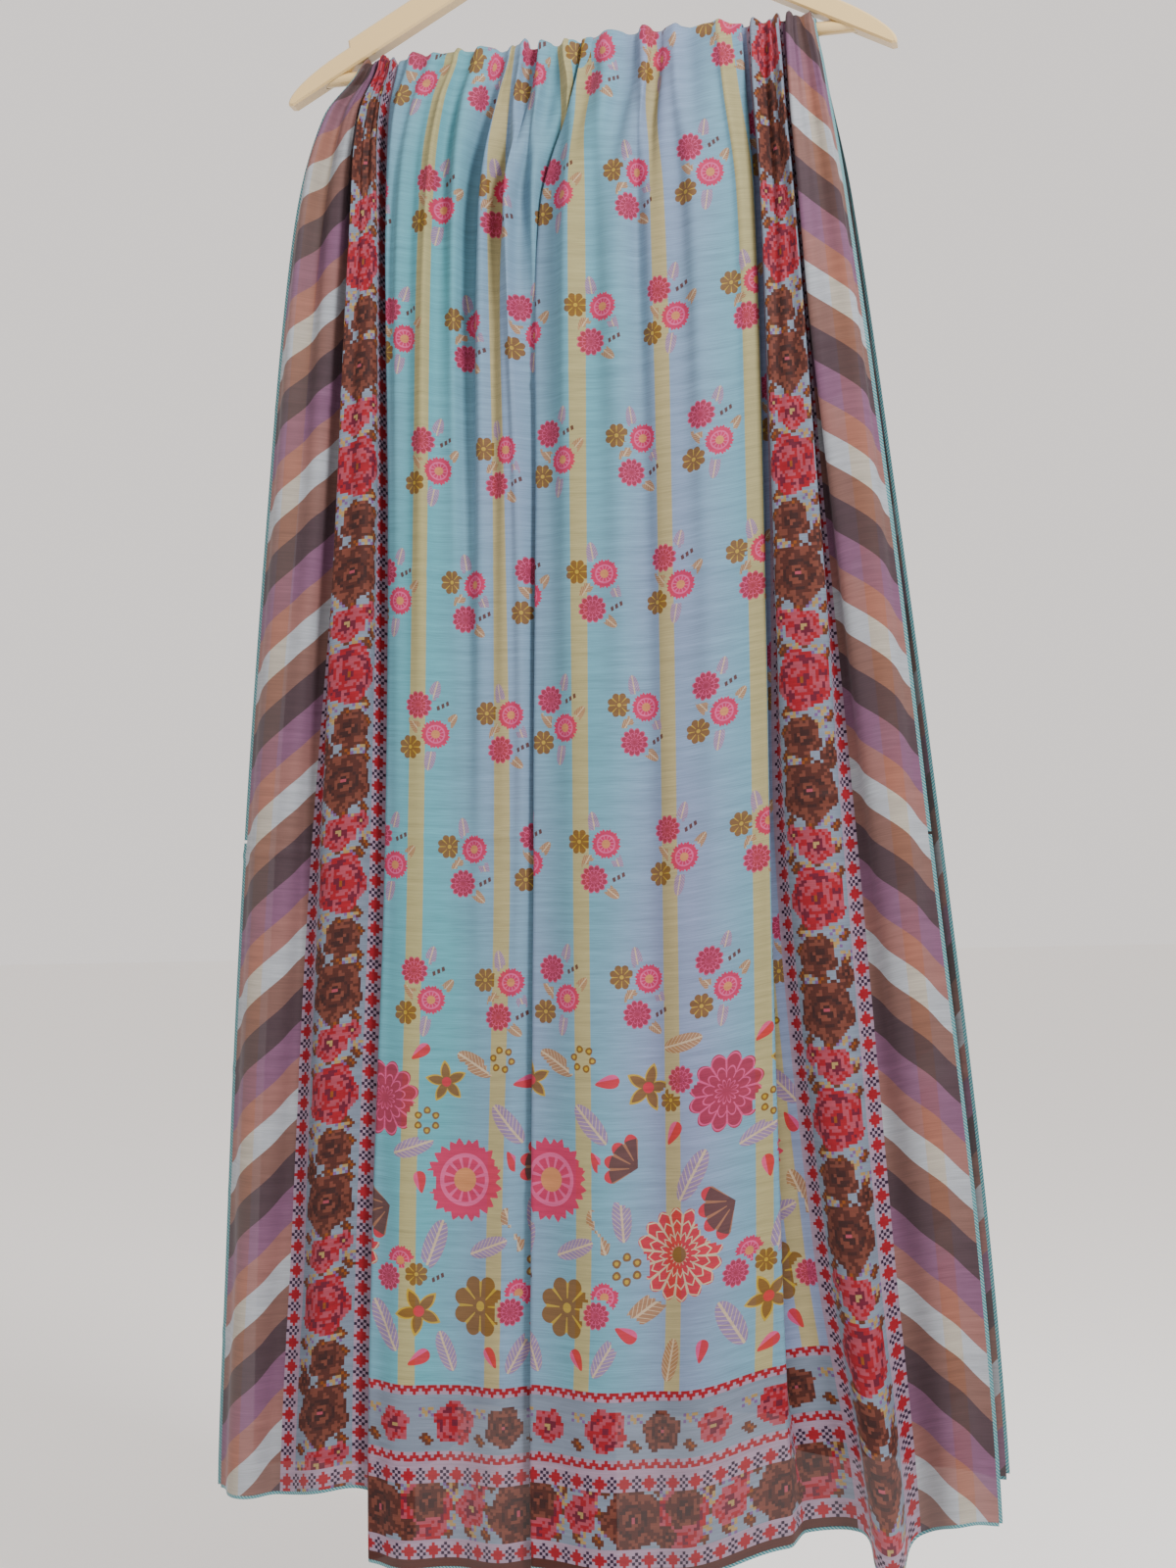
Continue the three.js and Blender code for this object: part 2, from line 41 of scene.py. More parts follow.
# ---------------------------------------------------------------- flat cloth, millimetres
CLOTH_WIDTH = 880
CLOTH_LENGTH = 2130
BAND = 69                  # striped band at each side
BORDER = 75                # rose border beside each band
EDGING = 2.5               # overlocked edge
STITCH_ROWS = 966          # printed stitches along the cloth
STITCH = CLOTH_LENGTH / STITCH_ROWS
BORDER_STITCHES = 34
GROUND_STITCHES = 268
BAND_COLUMNS = 22

# ---------------------------------------------------------------- how it hangs, millimetres
BAR_Z = -178.5
SPINE_RADIUS = 6.3         # from the bar's middle to the cloth's
QUARTER = SPINE_RADIUS * math.pi / 2
HAIRPIN = 2.5 * math.pi    # cloth in the bend at the edge of a pressed fold
UNDER_LAP = 2
FOLD_CLEAR = 5
TIGHTEST = 0.6
PRESSED_AT_BAR = 0.3
PRESS_RUN = 90
CREASE_DROP = 620
OVER_REACH = 34
GROUND_START = BAND + BORDER - UNDER_LAP
GROUND_END = CLOTH_WIDTH - BAND - BORDER
RIGHT_SEAM = CLOTH_WIDTH - BAND

LEVELS = [0, 40, 130, 350, 620, 890, 1115]     # drop below the bar of each column below
FRONT = {
    "edgeLeft": [-172, -202, -227, -252, -276, -293, -303],
    "seamLeft": [-157, -170, -178, -196, -223, -242, -255],
    "foldLeft": [-140, -147, -149, -152, -161, -176, -183],
    "foldMiddle": [2, -3, -31, -39, -47, -55, -60],
    "foldRight": [117, 119, 124, 125, 122, 121, 121],
    "groundRight": [117, 119, 124, 125, 122, 141, 168],
    "seamRight": [149, 151, 157, 169, 187, 203, 216],
    "edgeRight": [173, 179, 192, 216, 240, 263, 272],
    "lapLeft": [32, 34, 38, 42, 44, 42, 40],
    "lapMiddle": [57, 59, 61, 66, 68, 64, 66],
    "lapRight": [34, 35, 38, 38, 38, 36, 32],
    "middleAt": [524, 516, 490, 487, 484, 480, 486],
    "turnRight": [180, 180, 180, 180, 180, 120, 80],
}
BACK = {
    "edgeLeft": [-172, -194, -214, -236, -260, -277, -284],
    "seamLeft": [-157, -164, -170, -184, -203, -216, -222],
    "foldLeft": [-140, -142, -143, -144, -146, -150, -154],
    "foldMiddle": [2, 2, 4, 10, 12, 14, 14],
    "foldRight": [117, 120, 128, 136, 142, 150, 154],
    "groundRight": [117, 120, 128, 136, 142, 150, 154],
    "seamRight": [149, 152, 160, 176, 196, 212, 222],
    "edgeRight": [173, 178, 194, 219, 246, 269, 278],
    "lapLeft": [32, 33, 36, 38, 38, 38, 38],
    "lapMiddle": [57, 60, 65, 63, 63, 58, 55],
    "lapRight": [34, 35, 38, 40, 40, 40, 40],
    "middleAt": [524, 521, 514, 511, 512, 508, 504],
    "turnRight": [180, 180, 180, 180, 180, 180, 180],
}
# How far each line stands out from the bar, the same at every level.
OUT = {"edgeLeft": 6, "seamLeft": 5, "foldLeft": 1, "leftTop": 11, "middleUnder": 4,
       "middleTop": 14, "foldRight": 12, "groundRight": 2, "seamRight": 6, "edgeRight": 5}
# Pleats of each stretch: tight ones by the bar, broad ones lower down, lean and unevenness.
PLEATS = {
    "leftBand": (2, 1, 0.2, 0.2), "leftBorder": (2, 1, -0.2, 0.1),
    "leftGround": (6, 2, 0.25, 0.35), "rightGround": (4, 2, -0.3, 0.4),
    "rightBorder": (2, 1, 0.1, 0.2), "rightBand": (2, 1, -0.1, 0.2),
}
TIGHT_SHARE = [1, 0.93, 0.75, 0.35, 0.1, 0, 0]
# Length of the front fall at places across the flat cloth; the back has the rest.
FALL_AT = [0, 69, 142, 214, 470, 590, 668, 736, 776, 811, 850, 880]
FALL_FRONT = [1070, 1074, 1070, 1118, 1118, 1120, 1098, 1086, 1112, 1086, 1074, 1078]


def smooth(v):
    t = np.clip(v, 0, 1)
    return t * t * (3 - 2 * t)


def through(knots, values, at):
    """Smooth curve through the knots, level at both ends."""
    k, v = np.asarray(knots, float), np.asarray(values, float)
    slope = np.zeros(len(k))
    slope[1:-1] = (v[2:] - v[:-2]) / (k[2:] - k[:-2])
    at = np.clip(np.asarray(at, float), k[0], k[-1])
    i = np.clip(np.searchsorted(k, at, side="right") - 1, 0, len(k) - 2)
    step = k[i + 1] - k[i]
    t = (at - k[i]) / step
    ease = t * t * (3 - 2 * t)
    bend_in = t * (1 - t) ** 2 * step * slope[i]
    bend_out = t * t * (t - 1) * step * slope[i + 1]
    return v[i] + (v[i + 1] - v[i]) * ease + bend_in + bend_out


# The print lies evenly down to here; only the last of the cloth dips where the right fold opens.
EVEN_FRONT = [1070, 1074, 1070, 1112, 1116, 1116, 1102, 1090, 1088, 1086, 1078, 1078]
DIP_REACH = 260


def front_fall(flat, along):
    """Cloth between the front hem and the top of the bar, at places across and along the cloth."""
    hem = through(FALL_AT, FALL_FRONT, flat)
    even = through(FALL_AT, EVEN_FRONT, flat)
    return even + (hem - even) * (1 - smooth(along / DIP_REACH))


def meander_turn(ratio):
    """How far a pleated stretch turns to and fro to fit this share of its own length."""
    return math.sqrt(8 * (1 - math.sqrt(min(1, ratio))))


def stretches_at(hang, drop):
    """The stretches of one level across the cloth: kind, from and to flat, x and out at both."""
    at = {name: float(through(LEVELS, values, drop)) for name, values in hang.items()}
    share = float(through(LEVELS, TIGHT_SHARE, drop))
    stations = [
        (0, at["edgeLeft"], OUT["edgeLeft"]),
        (BAND, at["seamLeft"], OUT["seamLeft"]),
        (GROUND_START, at["foldLeft"] - FOLD_CLEAR, OUT["foldLeft"]),
        (GROUND_START + 2 * at["lapLeft"], at["foldLeft"], OUT["leftTop"]),
        (at["middleAt"] - 2 * at["lapMiddle"], at["foldMiddle"], OUT["middleUnder"]),
        (at["middleAt"], at["foldMiddle"], OUT["middleTop"]),
        (GROUND_END - 2 * at["lapRight"], at["foldRight"], OUT["foldRight"]),
        (GROUND_END, at["groundRight"] + FOLD_CLEAR, OUT["groundRight"]),
        (RIGHT_SEAM, at["seamRight"], OUT["seamRight"]),
        (CLOTH_WIDTH, at["edgeRight"], OUT["edgeRight"]),
    ]
    kinds = [PLEATS["leftBand"], PLEATS["leftBorder"], "over", PLEATS["leftGround"], "over",
             PLEATS["rightGround"], "under", PLEATS["rightBorder"], PLEATS["rightBand"]]
    rows = []
    for kind, a, b in zip(kinds, stations, stations[1:]):
        ratio = max(TIGHTEST, (b[1] - a[1]) / (b[0] - a[0]))
        rows.append((kind, a, b, meander_turn(ratio ** share), meander_turn(ratio ** (1 - share)),
                     math.radians(at["turnRight"])))
    return rows


def direction(kind, length, run, tight_turn, broad_turn, turn):
    """Heading of the cloth across one stretch, as an angle out from the bar."""
    def ramp(start):
        return np.clip((run - start) / HAIRPIN, 0, 1)
    if kind == "over":
        return math.pi * (ramp(length / 2 - HAIRPIN / 2) - ramp(length - HAIRPIN))
    if kind == "under":
        return -turn * (ramp(0) - ramp(length / 2 - HAIRPIN / 2))
    tight, broad, lean, uneven = kind
    t = run / length
    warped = t + lean * np.sin(2 * np.pi * t) / (2 * np.pi)
    swell = 1 + uneven * np.cos(2 * np.pi * t + lean * 9)
    return (tight_turn * swell * np.sin(2 * np.pi * tight * warped)
            + broad_turn * np.sin(2 * np.pi * broad * warped))


FLAT_STEP = 0.5
FLATS = np.arange(0, CLOTH_WIDTH + FLAT_STEP / 2, FLAT_STEP)


def section_at(hang, drop):
    """x and out of one level of the cloth along FLATS."""
    x, out = np.zeros(len(FLATS)), np.zeros(len(FLATS))
    for kind, a, b, tight_turn, broad_turn, turn in stretches_at(hang, drop):
        length = b[0] - a[0]
        cells = int(round(length / FLAT_STEP))
        fine = length / cells
        angle = direction(kind, length, (np.arange(cells) + 0.5) * fine, tight_turn, broad_turn, turn)
        run_x = np.concatenate([[0], np.cumsum(np.cos(angle)) * fine])
        run_out = np.concatenate([[0], np.cumsum(np.sin(angle)) * fine])
        reach = b[1] - a[1]
        scale = 1 if isinstance(kind, str) else reach / run_x[-1]
        mask = (FLATS >= a[0] - 1e-9) & (FLATS <= b[0] + 1e-9)
        place = (FLATS[mask] - a[0]) / fine
        t = place / cells
        grid = np.arange(cells + 1)
        x[mask] = a[1] + np.interp(place, grid, run_x) * scale + (reach - run_x[-1] * scale) * t
        out[mask] = a[2] + np.interp(place, grid, run_out) + (b[2] - a[2] - run_out[-1]) * t
    return x, out


LEVEL_STEP = 5.0
DROPS = np.arange(0, 1130 + LEVEL_STEP, LEVEL_STEP)


def hanging(hang):
    """x and out over a grid of drops and flat places."""
    rows = [section_at(hang, d) for d in DROPS]
    return np.array([r[0] for r in rows]), np.array([r[1] for r in rows])


FORMS = {1: hanging(FRONT), -1: hanging(BACK)}


def look_up(table, flat, fall):
    """Value between the rows and columns of a form's table."""
    c = np.clip(flat / FLAT_STEP, 0, len(FLATS) - 1.001)
    r = np.clip(fall / LEVEL_STEP, 0, len(DROPS) - 1.001)
    ci, ri = c.astype(int), r.astype(int)
    cf, rf = c - ci, r - ri
    low = table[ri, ci] * (1 - cf) + table[ri, ci + 1] * cf
    high = table[ri + 1, ci] * (1 - cf) + table[ri + 1, ci + 1] * cf
    return low * (1 - rf) + high * rf


def cloth_points(flat, along):
    """Middle of the cloth at flat places across and along it (along runs from the front hem)."""
    drop = front_fall(flat, along) - along
    fall = np.abs(drop)
    side = np.where(drop >= 0, -1.0, 1.0)
    x = np.where(drop >= 0, look_up(FORMS[1][0], flat, fall), look_up(FORMS[-1][0], flat, fall))
    out = np.where(drop >= 0, look_up(FORMS[1][1], flat, fall), look_up(FORMS[-1][1], flat, fall))
    out = out * (PRESSED_AT_BAR + (1 - PRESSED_AT_BAR) * smooth(fall / PRESS_RUN))
    out = out + wrinkles(flat, drop)
    out = np.maximum(out, 0.0)
    angle = np.minimum(fall / SPINE_RADIUS, math.pi / 2)
    reach = SPINE_RADIUS + out
    y = side * reach * np.sin(angle)
    z = BAR_Z + reach * np.cos(angle) - np.maximum(0, fall - QUARTER)
    return np.stack([x, y, z], axis=-1) * MM


# Storage creases: drop at the middle, slope across, height, half width.
CREASES = [(255, -0.02, 0.9, 3.0), (398, 0.03, 1.1, 3.0), (585, -0.03, 1.8, 3.0),
           (762, 0.01, 1.2, 3.0), (846, -0.02, 1.0, 3.0), (962, 0.02, 1.1, 3.5)]


# Pleats gathered on the bar: flat place on the bar, shift down the cloth, height, half width, fade.
PLEAT_RIDGES = [
    (14, 4, 3.5, 6, 300), (40, -6, 3.0, 7, 420), (62, 3, 2.5, 5, 260),
    (84, 2, 4.0, 5, 500), (103, -5, 3.5, 6, 380), (126, 4, 3.5, 5, 320),
    (214, 3, 4.5, 5, 420), (236, 8, 4.0, 6, 520), (258, -4, 5.0, 5, 360), (281, 6, 4.0, 7, 640),
    (307, -6, 5.0, 6, 480), (333, 4, 5.5, 5, 700), (357, -3, 4.5, 6, 420), (384, 5, 5.0, 6, 760),
    (512, 4, 3.5, 7, 420), (548, -8, 3.0, 9, 300), (582, 6, 4.0, 7, 360), (617, -4, 3.5, 8, 460),
    (648, 3, 3.5, 6, 300), (748, 3, 3.5, 6, 460), (772, -4, 3.5, 6, 360), (796, 3, 3.0, 6, 420),
    (822, -5, 3.5, 7, 380), (846, 5, 3.0, 6, 300), (868, -3, 2.5, 5, 240),
]


PLEAT_DEPTH, PLEAT_NARROWING = 1.8, 0.78


def pleat_ridges(flat, drop):
    """Height of the gathers that run down from the bar, steep on one flank."""
    rise = np.zeros_like(flat * drop)
    front = drop >= 0
    for at, shift, height, half, fade in PLEAT_RIDGES:
        line = at + shift * np.sin(np.abs(drop) / 210 + at) + np.where(front, 0, 9 * np.sin(at))
        width = PLEAT_NARROWING * half * (1 + np.abs(drop) / 700)
        d = (flat - line) / width
        keep = np.exp(-(drop / fade) ** 2) * np.where(front, 1, 0.8)
        flank = 1.25 / (1 + np.exp(-3 * d - 1)) * np.exp(-0.5 * np.maximum(d, -3) ** 2)
        rise += PLEAT_DEPTH * height * keep * flank
    return rise


def wrinkles(flat, drop):
    """Pleats, storage creases, and slack that wanders down the cloth."""
    rise = pleat_ridges(flat, drop) * (0.45 + 0.55 * smooth(np.abs(drop) / 60))
    fade = smooth((np.abs(drop) - 60) / 160)
    for at, slope, height, half in CREASES:
        line = at + slope * (flat - CLOTH_WIDTH / 2) + 3 * np.sin(flat / 47 + at)
        d = (np.abs(drop) - line) / half
        keep = 0.6 + 0.4 * np.sin(flat / 61 + at * 1.7)
        rise += height * keep * np.exp(-d * d) * np.where(drop >= 0, 1, -0.8)
    slack = (0.9 * np.sin(flat / 13.0 + drop / 170 + 0.8 * np.sin(drop / 90))
             + 0.5 * np.sin(flat / 7.1 - drop / 120 + 1.3 * np.sin(drop / 61 + flat / 80)))
    rise += fade * slack * (0.35 + 0.3 * np.sin(drop / 150 + flat / 120))
    return rise


# ---------------------------------------------------------------- pieces of the cloth
COLUMNS = {
    "left_band": np.linspace(EDGING, BAND, BAND_COLUMNS + 1),
    "left_border": np.linspace(BAND, BAND + BORDER, BORDER_STITCHES + 1),
    "ground": np.linspace(BAND + BORDER, GROUND_END, GROUND_STITCHES + 1),
    "right_border": np.linspace(GROUND_END, RIGHT_SEAM, BORDER_STITCHES + 1),
    "right_band": np.linspace(RIGHT_SEAM, CLOTH_WIDTH - EDGING, BAND_COLUMNS + 1),
}
ALL_COLUMNS = np.unique(np.round(np.concatenate(list(COLUMNS.values())), 4))


def parted(low, high):
    """Columns of the grid from one flat place to another."""
    return ALL_COLUMNS[(ALL_COLUMNS >= low - 1e-6) & (ALL_COLUMNS <= high + 1e-6)]


def nearest(value):
    return ALL_COLUMNS[np.argmin(np.abs(ALL_COLUMNS - value))]


CUT_LEFT, CUT_MIDDLE, CUT_RIGHT = nearest(159), nearest(390), nearest(726)
STRETCHES = {
    "left_side": parted(EDGING, CUT_LEFT), "left_ground": parted(CUT_LEFT, CUT_MIDDLE),
    "right_ground": parted(CUT_MIDDLE, CUT_RIGHT), "right_side": parted(CUT_RIGHT, CLOTH_WIDTH - EDGING),
}
FRONT_LENGTH = 1100


def rows_to(length):
    """Stitch rows in a length of cloth."""
    return int(round(length / STITCH))


# Stitch rows of each fall, counted from the front hem, and the nodes that it stands for.
FALLS = {
    "front_lower": (1, rows_to(FRONT_LENGTH - CREASE_DROP), ["front_lower"]),
    "front_upper": (rows_to(FRONT_LENGTH - CREASE_DROP), rows_to(FRONT_LENGTH + OVER_REACH),
                    ["front_upper", "over_bar"]),
    "back_upper": (rows_to(FRONT_LENGTH + OVER_REACH), rows_to(FRONT_LENGTH + CREASE_DROP),
                   ["back_upper"]),
    "back_lower": (rows_to(FRONT_LENGTH + CREASE_DROP), STITCH_ROWS - 1, ["back_lower"]),
}


def sheet_mesh(name, flats, alongs, colours=None, motifs=None):
    """One open sheet of cloth over a grid of flat places, facing out.

    Each cell can carry a stitch's colour and cover, and the flower printed over it."""
    flat, along = np.meshgrid(flats, alongs)
    points = cloth_points(flat, along)
    rows, cols = flat.shape
    ids = np.arange(rows * cols).reshape(rows, cols)
    quads = np.stack([ids[:-1, :-1], ids[:-1, 1:], ids[1:, 1:], ids[1:, :-1]], axis=-1).reshape(-1, 4)
    mesh = bpy.data.meshes.new(name)
    mesh.vertices.add(rows * cols)
    mesh.vertices.foreach_set("co", points.reshape(-1))
    mesh.loops.add(quads.size)
    mesh.loops.foreach_set("vertex_index", quads.reshape(-1))
    mesh.polygons.add(len(quads))
    mesh.polygons.foreach_set("loop_start", np.arange(0, quads.size, 4))
    mesh.polygons.foreach_set("use_smooth", np.ones(len(quads), bool))
    mesh.update(calc_edges=True)
    flat_at = mesh.attributes.new("flat", "FLOAT_VECTOR", "POINT")
    flat_at.data.foreach_set("vector", np.stack([flat, along, 0 * flat], axis=-1).reshape(-1))
    u = (flat - flats[0]) / (flats[-1] - flats[0])
    v = (along - alongs[0]) / (alongs[-1] - alongs[0])
    corner = np.stack([u, v], axis=-1).reshape(-1, 2)[quads.reshape(-1)]
    mesh.uv_layers.new(name="OFBake").data.foreach_set("uv", (0.004 + 0.992 * corner).reshape(-1))
    if colours is not None:
        stitch = mesh.attributes.new("stitch", "FLOAT_COLOR", "CORNER")
        stitch.data.foreach_set("color", np.repeat(colours.reshape(-1, 4), 4, axis=0).reshape(-1))
    if motifs is not None:
        across, up, size, turn, kind = np.repeat(motifs.reshape(-1, 5), 4, axis=0).T
        place = np.stack([flat, along], axis=-1).reshape(-1, 2)[quads.reshape(-1)]
        dx, dy = (place[:, 0] - across) / size, (place[:, 1] - up) / size
        c, s = np.cos(turn), np.sin(turn)
        local = np.stack([dx * c + dy * s, dy * c - dx * s, kind], axis=-1)
        motif = mesh.attributes.new("motif", "FLOAT_VECTOR", "CORNER")
        motif.data.foreach_set("vector", local.reshape(-1))
    obj = bpy.data.objects.new(name, mesh)
    bpy.context.collection.objects.link(obj)
    return obj


# ---------------------------------------------------------------- colours of the print
def rgb(r, g, b):
    """Linear colour of the usual 0 to 255 values."""
    def lin(v):
        v /= 255
        return v / 12.92 if v <= 0.04045 else ((v + 0.055) / 1.055) ** 2.4
    return (lin(r), lin(g), lin(b))


DYE_DEPTH, DYE_STRENGTH = 0.42, 1.4     # how dark and how strong the dyes sit in the cloth


def dye(r, g, b):
    """Colour of a dye in the cloth, from how it reads in daylight."""
    colour = np.array(rgb(r, g, b))
    grey = colour @ (0.2126, 0.7152, 0.0722)
    return tuple(float(v) for v in np.clip(grey + (colour - grey) * DYE_STRENGTH, 0.003, 1) * DYE_DEPTH)


THREADS = {
    "r": dye(160, 42, 56), "m": dye(104, 22, 50), "p": dye(174, 92, 104), "o": dye(146, 88, 42),
    "c": dye(184, 160, 122), "b": dye(82, 44, 38), "t": dye(122, 74, 64), "k": dye(58, 30, 28),
    "l": dye(128, 102, 146), "d": dye(44, 20, 50), "w": dye(182, 162, 180), "g": dye(148, 158, 174),
    "e": dye(98, 58, 44),
}

# ---------------------------------------------------------------- stitched charts
STAR = ["..r..",
        ".rrr.",
        "rrrrr",
        ".rrr.",
        "..r..",
        ".d.d.",
        "d.d.d",
        ".d.d."]
ZIGZAG = ["r...r...",
          "rr.rrr.r",
          ".rrr.rrr"]
LEAF = ["..ee.",
        ".eeoe",
        "eeoe.",
        ".ee.."]
SPRIG = ["l.c.l",
         ".ccl.",
         "lc.cc"]
RED_ROSE, BROWN_ROSE = "omrprpmrpr", "pktbkbtbtb"
PINK_FLOWER, BROWN_FLOWER = "cmprp", "tkbtb"


def blank(rows, cols, letter="g"):
    return [[letter] * cols for _ in range(rows)]


def stamp(chart, pattern, row, col):
    """Lays a small chart on a large one; dots leave the ground."""
    rows, cols = len(chart), len(chart[0])
    for r, line in enumerate(pattern):
        for c, letter in enumerate(line):
            if letter != "." and 0 <= c + col < cols:
                chart[(r + row) % rows][c + col] = letter


def rose(size, threads, turn):
    """A stitched rose: scalloped rings of thread round an eye, with a lobed edge."""
    lines = []
    half = (size - 1) / 2
    for r in range(size):
        line = ""
        for c in range(size):
            x, y = (c - half) / (half + 0.4), (r - half) / (half + 0.4)
            angle = math.atan2(y, x)
            reach = math.hypot(x, y)
            ring = reach * (len(threads) - 0.7)
            ring += (0.2 + 0.7 * reach) * math.cos((3 if reach < 0.5 else 5) * angle + turn + 2 * int(ring))
            letter = threads[min(len(threads) - 1, max(0, int(ring + 0.3)))]
            line += "." if reach > 0.98 + 0.08 * math.cos(5 * angle + turn) else letter
        lines.append(line)
    return lines


def strip_of_roses(rows, cols):
    """One repeat of the rose strip: red rose, small pink flower, brown rose, small brown flower."""
    chart = blank(rows, cols)
    for row, col in [(16, 0), (18, 15), (21, 17), (33, 16), (31, 0), (51, 0), (54, 16), (68, 15), (50, 16),
                     (66, 0), (28, 15), (62, 16), (24, 0), (58, 0), (20, 7), (65, 9), (32, 8), (52, 9)]:
        stamp(chart, LEAF, row, col)
    for row, col in [(18, 3), (26, 0), (30, 13), (50, 5), (60, 0), (68, 3), (24, 17), (64, 4), (53, 13),
                     (19, 11), (33, 4), (67, 13)]:
        stamp(chart, SPRIG, row, col)
    stamp(chart, rose(20, RED_ROSE, 0.4), 0, (cols - 20) // 2)
    stamp(chart, rose(12, PINK_FLOWER, 1.2), 21, 4)
    stamp(chart, rose(7, PINK_FLOWER, 0.2), 27, 14)
    stamp(chart, rose(20, BROWN_ROSE, 2.1), 34, (cols - 20) // 2)
    stamp(chart, rose(13, BROWN_FLOWER, 0.9), 55, 6)
    stamp(chart, rose(7, BROWN_FLOWER, 0.3), 52, 0)
    return chart


ROSE_REPEAT = 70
STAR_STRIP = 6
FLOWER_STRIP = 18


def repeated(chart, rows, start):
    return [chart[(start + r) % len(chart)] for r in range(rows)]


def star_strip(rows):
    chart = blank(rows, STAR_STRIP, "w")
    for row in range(0, rows, len(STAR)):
        for r, line in enumerate(STAR):
            for c, thread in enumerate(line):
                if thread != "." and row + r < rows:
                    chart[row + r][c] = thread
    return chart


def joined(*charts):
    """Charts side by side."""
    return [sum((list(chart[r]) for chart in charts), []) for r in range(len(charts[0]))]


def turned(chart):
    """A chart on its side."""
    return [list(line) for line in zip(*chart)]


def border_chart():
    """The side border over the whole length: stars, roses, stars."""
    roses = repeated(strip_of_roses(ROSE_REPEAT, BORDER_STITCHES - 2 * STAR_STRIP), STITCH_ROWS, 18)
    stars = star_strip(STITCH_ROWS)
    return joined(stars, roses, stars)


def end_chart(cols):
    """The border across one end of the ground, counted up from the hem."""
    roses = turned(repeated(strip_of_roses(50, 18), cols, 5))
    stars = turned(star_strip(cols))
    zigzag = [list((line * (cols // 8 + 1))[:cols]) for line in ZIGZAG]
    zigzag = [["w" if thread == "." else thread for thread in line] for line in zigzag]
    flowers = blank(FLOWER_STRIP, cols)
    for i, col in enumerate(range(2, cols, 19)):
        threads = (RED_ROSE, BROWN_ROSE, PINK_FLOWER)[i % 3]
        size = (14, 13, 11)[i % 3]
        stamp(flowers, rose(size, threads, i * 1.7), (FLOWER_STRIP - size) // 2, col)
        stamp(flowers, LEAF, 2, col + 14)
        stamp(flowers, SPRIG, 11, col + 14)
    line = [["w"] * cols]
    return (blank(1, cols, "t") + blank(3, cols, "b") + stars + roses + stars + line
            + zigzag[::-1] + flowers + zigzag)


def lay(target, chart, row, col):
    """Puts a chart's colours on the cells of the cloth, fully covered."""
    for r, line in enumerate(chart):
        for c, letter in enumerate(line):
            target[row + r, col + c, :3] = THREADS[letter]
            target[row + r, col + c, 3] = 1.0


def printed_stitches():
    """Colour and cover of every stitch cell over the cloth; cover 0 leaves the plain print."""
    cols = len(ALL_COLUMNS) - 1
    cells = np.zeros((STITCH_ROWS, cols, 4))
    left, right = BAND_COLUMNS, BAND_COLUMNS + BORDER_STITCHES + GROUND_STITCHES
    border = border_chart()
    lay(cells, border, 0, left)
    lay(cells, [line[::-1] for line in border], 0, right)
    end = end_chart(GROUND_STITCHES)
    corner = turned(star_strip(BORDER_STITCHES))
    lay(cells, end, 0, left + BORDER_STITCHES)
    lay(cells, end[::-1], STITCH_ROWS - len(end), left + BORDER_STITCHES)
    for col in (left, right):
        lay(cells, corner, 2, col)
        lay(cells, corner, STITCH_ROWS - 2 - len(corner), col)
    return cells


STITCHES = printed_stitches()

# ---------------------------------------------------------------- printed flowers
OLIVE, DAISY, MUM, TAN_LEAF, LILAC_LEAF, DASHES, STAR_FLOWER, WHEEL, FAN, BERRIES, DROP = range(1, 12)
# Each posy: kind, across and up from its middle, radius, turn in degrees.
POSY_A = [(LILAC_LEAF, 0, 24, 10.5, 100), (TAN_LEAF, -3, 1, 10, 60), (LILAC_LEAF, 17, -4, 10, -70),
          (TAN_LEAF, 12, -25, 9.5, -40), (OLIVE, -11, 11, 9, 0), (DAISY, 9, 9, 11, 0),
          (MUM, 0, -16, 10.4, 0), (DASHES, 18, -15, 5.5, 0)]
POSY_B = [(LILAC_LEAF, 7, 27, 10.5, 75), (TAN_LEAF, -7, 2, 10, 130), (LILAC_LEAF, 4, -23, 10, -100),
          (TAN_LEAF, 19, 5, 9.5, 50), (MUM, -5, 17, 10.4, 0), (DAISY, 8, -4, 11, 0),
          (OLIVE, -11, -14, 9, 0), (DASHES, 13, 17, 5.5, 0)]
POSY_ROW, POSY_COLUMN = 97.5, 60.5
POSY_ACROSS, POSY_UP = 532, 508           # middle of one A posy
END_FIELD = (132, 392)                    # the large flowers, between the end border and the posies
POSY_FREE_BELOW = 410
POSY_ROWS, POSY_COLUMNS = range(-6, 16), range(-8, 5)


def posies():
    """Small posies on a half-drop net over the ground, the two kinds turn about."""
    rows = []
    for r in POSY_ROWS:
        up = POSY_UP + r * POSY_ROW
        if not POSY_FREE_BELOW < up < CLOTH_LENGTH - POSY_FREE_BELOW:
            continue
        for c in POSY_COLUMNS:
            across = POSY_ACROSS + (c + (r % 2) / 2) * POSY_COLUMN
            for kind, dx, dy, size, turn in (POSY_A if c % 2 == 0 else POSY_B):
                rows.append((across + dx, up + dy, size, math.radians(turn), kind))
    return rows


